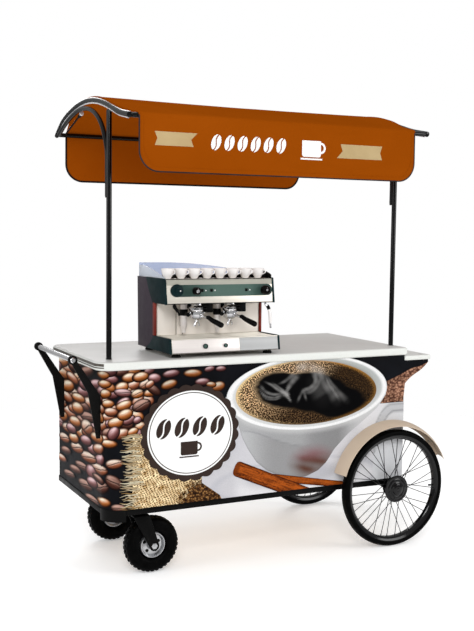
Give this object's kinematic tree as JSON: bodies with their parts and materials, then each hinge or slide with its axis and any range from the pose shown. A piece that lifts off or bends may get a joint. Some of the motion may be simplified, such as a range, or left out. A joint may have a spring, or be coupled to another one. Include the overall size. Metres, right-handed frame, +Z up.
{
  "type": "push vending cart",
  "caption": "Push cart for selling coffee: cabinet body on spoked wheels and swivel casters, counter with an espresso machine, push bar and an arched cloth canopy on posts.",
  "frame": {"origin": "on the floor, under the middle of the cart's bounding box", "axes": "+X along the cart from the push bar to the spoked wheels, -Y towards the printed front, +Z up"},
  "size_m": [2.0154, 1.113, 2.2525],
  "materials": {
    "black_paint": "glossy black powder coat",
    "dark_steel": "black painted steel",
    "printed_skin": "printed vinyl film on flat composite panel",
    "white_laminate": "smooth pale grey laminate on board",
    "board": "plain plywood",
    "chrome": "bright chrome",
    "zinc": "bright zinc plate",
    "tyre": "black rubber",
    "tan_paint": "satin tan paint",
    "orange_cloth": "coated orange-brown canvas",
    "stainless": "brushed stainless steel",
    "black_plastic": "black moulded plastic",
    "smoked_acrylic": "clear pale blue acrylic"
  },
  "bodies": {
    "cart": {"axle": "dark_steel", "base_frame": "black_paint", "brace_left": "black_paint", "brace_right": "black_paint", "canopy_cover": "orange_cloth", "caster_plate_front": "black_paint", "caster_plate_rear": "black_paint", "corner_panel": "printed_skin", "counter_top": "white_laminate", "cup_rail": "smoked_acrylic", "floor_panel": "board", "front_panel": "printed_skin", "front_rail": "black_paint", "group_head_left": "chrome", "group_head_right": "chrome", "handle_arm_front": "black_paint", "handle_arm_rear": "black_paint", "handle_bar": "chrome", "hoop_left": "black_paint", "hoop_right": "black_paint", "inner_shelf": "board", "left_end_panel": "printed_skin", "machine_casing": "stainless", "mudguard_front": "tan_paint", "mudguard_rear": "tan_paint", "post_left": "black_paint", "post_right": "black_paint", "rear_rail": "black_paint", "right_end_panel": "printed_skin", "side_shelf": "white_laminate", "top_rail_front": "dark_steel", "top_rail_rear": "dark_steel", "upright_front_left": "dark_steel", "upright_front_right": "dark_steel", "upright_rear_left": "dark_steel", "upright_rear_right": "dark_steel"},
    "wheel_front": {"wheel_tyre_front": "tyre", "wheel_rim_front": "black_paint", "spoked_hub_front": "zinc"},
    "wheel_rear": {"wheel_tyre_rear": "tyre", "wheel_rim_rear": "black_paint", "spoked_hub_rear": "zinc"},
    "caster_front": {"caster_fork_front": "black_paint"},
    "caster_rear": {"caster_fork_rear": "black_paint"},
    "caster_wheel_front": {"caster_tyre_front": "tyre", "caster_rim_front": "zinc"},
    "caster_wheel_rear": {"caster_tyre_rear": "tyre", "caster_rim_rear": "zinc"},
    "door_left": {"back_door_left": "printed_skin"},
    "door_right": {"back_door_right": "printed_skin"},
    "tray": {"drip_tray": "stainless"},
    "filter_left": {"portafilter_left": "black_plastic"},
    "filter_right": {"portafilter_right": "black_plastic"},
    "wand_left": {"steam_wand_left": "chrome"},
    "wand_right": {"steam_wand_right": "chrome"},
    "knob_left": {"steam_knob_left": "black_plastic"},
    "knob_right": {"steam_knob_right": "black_plastic"},
    "button_1": {"brew_button_1": "black_plastic"},
    "button_2": {"brew_button_2": "black_plastic"},
    "button_3": {"brew_button_3": "black_plastic"}
  },
  "joints": [
    {"name": "wheel_front_spin", "type": "hinge", "parent": "cart", "child": "wheel_front", "pos_m": [0.68733, -0.425, 0.305], "axis": [0, 1, 0], "continuous": true},
    {"name": "wheel_rear_spin", "type": "hinge", "parent": "cart", "child": "wheel_rear", "pos_m": [0.68733, 0.425, 0.305], "axis": [0, 1, 0], "continuous": true},
    {"name": "caster_front_swivel", "type": "hinge", "parent": "cart", "child": "caster_front", "pos_m": [-0.65967, -0.27, 0.29], "axis": [0, 0, 1], "continuous": true},
    {"name": "caster_front_spin", "type": "hinge", "parent": "caster_front", "child": "caster_wheel_front", "pos_m": [-0.59967, -0.27, 0.135], "axis": [0, 1, 0], "continuous": true},
    {"name": "caster_rear_swivel", "type": "hinge", "parent": "cart", "child": "caster_rear", "pos_m": [-0.65967, 0.27, 0.29], "axis": [0, 0, 1], "continuous": true},
    {"name": "caster_rear_spin", "type": "hinge", "parent": "caster_rear", "child": "caster_wheel_rear", "pos_m": [-0.59967, 0.27, 0.135], "axis": [0, 1, 0], "continuous": true},
    {"name": "door_left_slide", "type": "slide", "parent": "cart", "child": "door_left", "axis": [1, 0, 0], "range_m": [0, 0.78]},
    {"name": "door_right_slide", "type": "slide", "parent": "cart", "child": "door_right", "axis": [-1, 0, 0], "range_m": [0, 0.78]},
    {"name": "drip_tray_lift", "type": "slide", "parent": "cart", "child": "tray", "axis": [0, 0, 1], "range_m": [0, 0.02]},
    {"name": "filter_left_turn", "type": "hinge", "parent": "cart", "child": "filter_left", "pos_m": [-0.35767, -0.245, 1.2357], "axis": [0, 0, 1], "range_deg": [-50, 0]},
    {"name": "filter_right_turn", "type": "hinge", "parent": "cart", "child": "filter_right", "pos_m": [-0.17967, -0.245, 1.2357], "axis": [0, 0, 1], "range_deg": [-50, 0]},
    {"name": "wand_left_swing", "type": "hinge", "parent": "cart", "child": "wand_left", "pos_m": [-0.48967, -0.285, 1.277], "axis": [0, 0, 1], "range_deg": [-40, 40]},
    {"name": "wand_right_swing", "type": "hinge", "parent": "cart", "child": "wand_right", "pos_m": [-0.00467, -0.285, 1.277], "axis": [0, 0, 1], "range_deg": [-60, 40]},
    {"name": "knob_left_turn", "type": "hinge", "parent": "cart", "child": "knob_left", "pos_m": [-0.39567, -0.3062, 1.34], "axis": [0, -1, 0], "range_deg": [0, 270]},
    {"name": "knob_right_turn", "type": "hinge", "parent": "cart", "child": "knob_right", "pos_m": [-0.02767, -0.3062, 1.34], "axis": [0, -1, 0], "range_deg": [0, 270]},
    {"name": "button_1_press", "type": "slide", "parent": "cart", "child": "button_1", "axis": [0, 1, 0], "range_m": [0, 0.0025], "stiffness_N_per_m": 300, "springref_m": -0.001},
    {"name": "button_2_press", "type": "slide", "parent": "cart", "child": "button_2", "axis": [0, 1, 0], "range_m": [0, 0.0025], "stiffness_N_per_m": 300, "springref_m": -0.001},
    {"name": "button_3_press", "type": "slide", "parent": "cart", "child": "button_3", "axis": [0, 1, 0], "range_m": [0, 0.0025], "stiffness_N_per_m": 300, "springref_m": -0.001}
  ]
}
